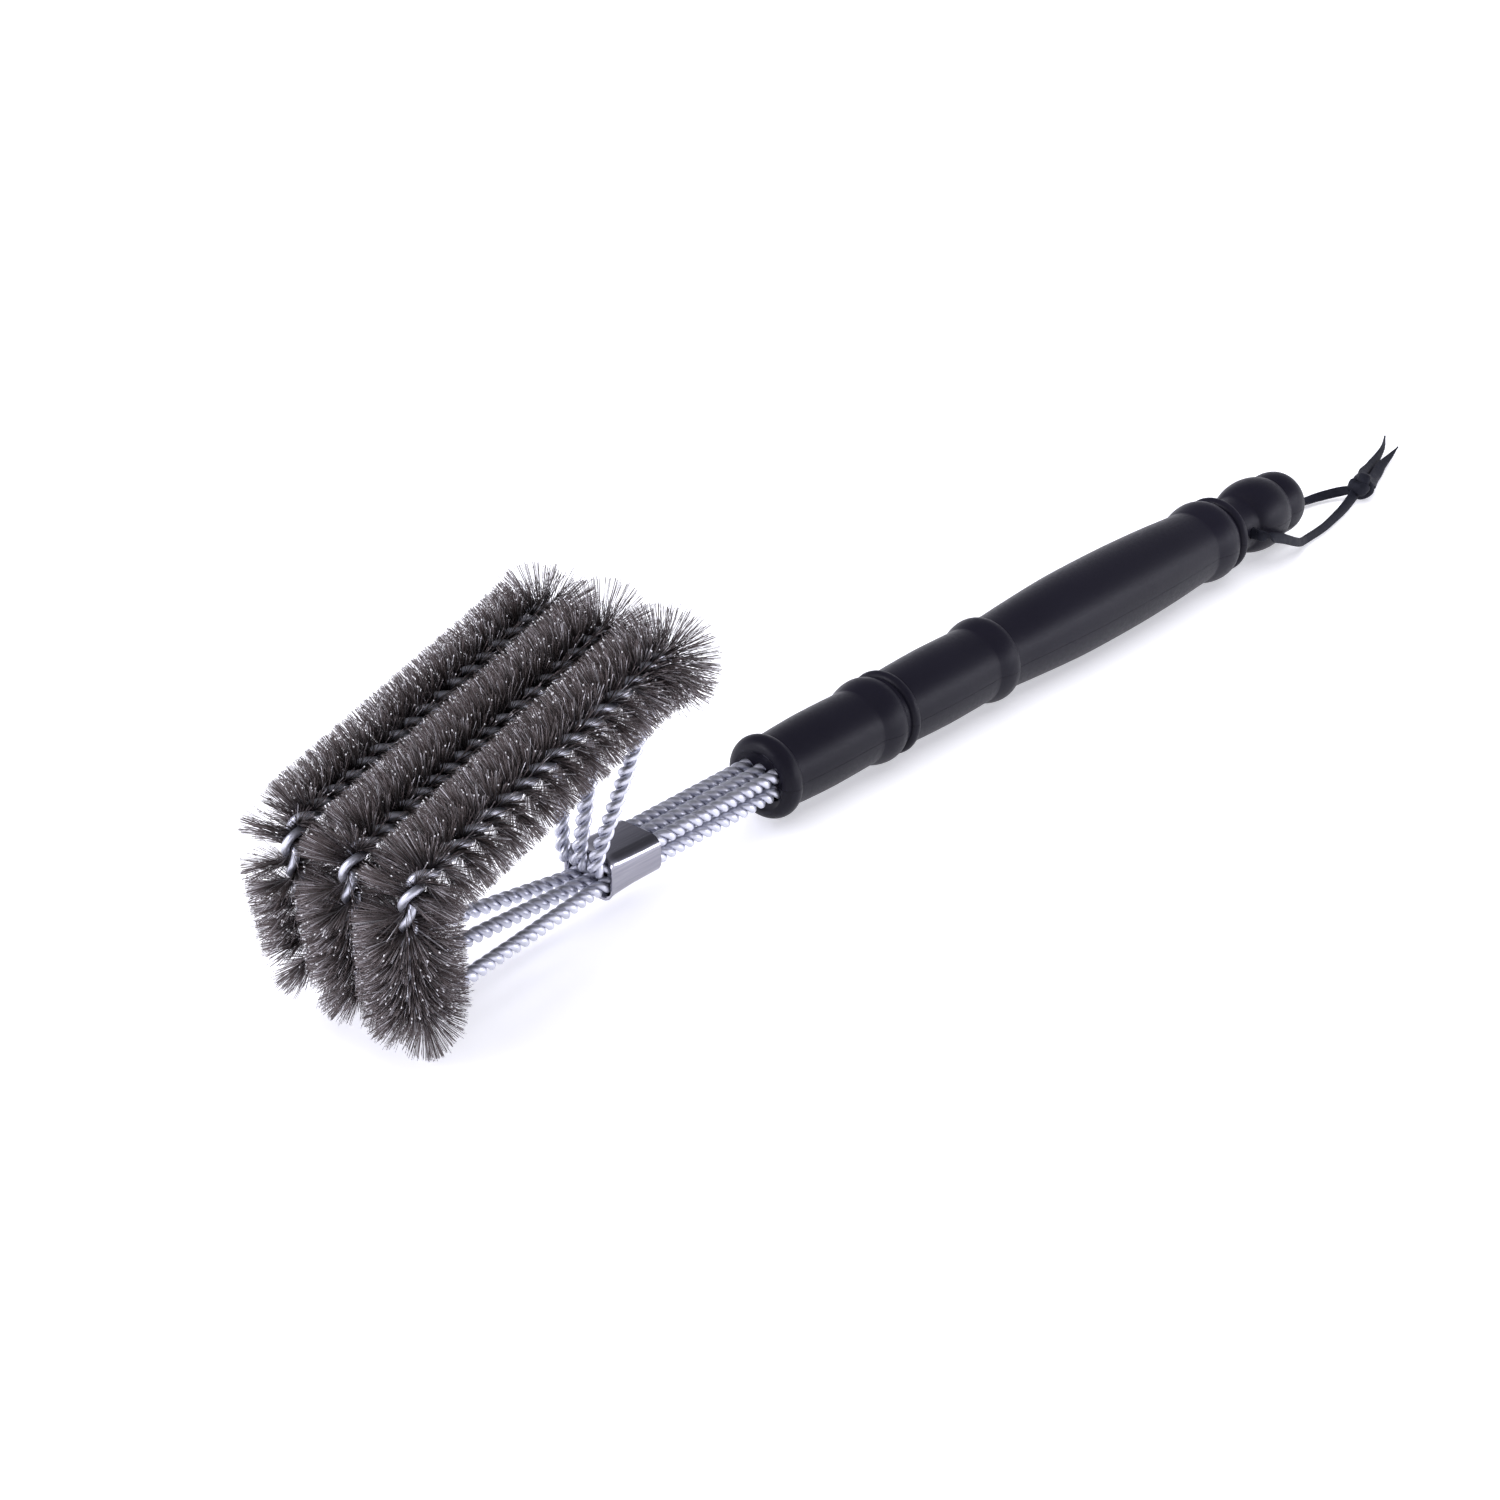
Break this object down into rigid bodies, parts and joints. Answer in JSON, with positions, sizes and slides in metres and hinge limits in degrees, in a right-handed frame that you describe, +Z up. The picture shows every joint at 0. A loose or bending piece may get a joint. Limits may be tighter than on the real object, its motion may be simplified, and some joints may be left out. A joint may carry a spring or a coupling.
{
  "type": "grill_cleaning_brush",
  "caption": "Grill cleaning brush with twisted-wire bristle loops, a steel clamp sleeve, a turned black plastic handle and a leather hanging lace",
  "frame": {"origin": "Middle of the underside of the brush's box, without the lace, at the height of the surface it lies on", "axes": "+X along the handle towards the lace, +Z up with the brush lying on its nose bristles and grip, +Y to the brush's far side"},
  "size_m": [0.5626, 0.072, 0.1003],
  "materials": {
    "wire_steel": "satin, drawn wire twisted in pairs",
    "bristle_steel": "fine dark stainless bristle with bright glints",
    "clamp_chrome": "bright folded band",
    "handle_plastic": "fine-grained matte black",
    "lace_leather": "flat dark lace, matt"
  },
  "bodies": {
    "root": {"wire_loop_near": "wire_steel", "main_bristles_near": "bristle_steel", "nose_bristles_near": "bristle_steel", "wire_loop_middle": "wire_steel", "main_bristles_middle": "bristle_steel", "nose_bristles_middle": "bristle_steel", "wire_loop_far": "wire_steel", "main_bristles_far": "bristle_steel", "nose_bristles_far": "bristle_steel", "clamp_sleeve": "clamp_chrome", "handle_upper_shell": "handle_plastic", "handle_lower_shell": "handle_plastic", "wire_end_ferrule": "wire_steel", "retaining_pin": "wire_steel", "lace_in_hole": "lace_leather", "lace_near_side": "lace_leather", "lace_far_side": "lace_leather", "lace_knot": "lace_leather", "lace_tail_one": "lace_leather", "lace_tail_two": "lace_leather"}
  },
  "joints": []
}
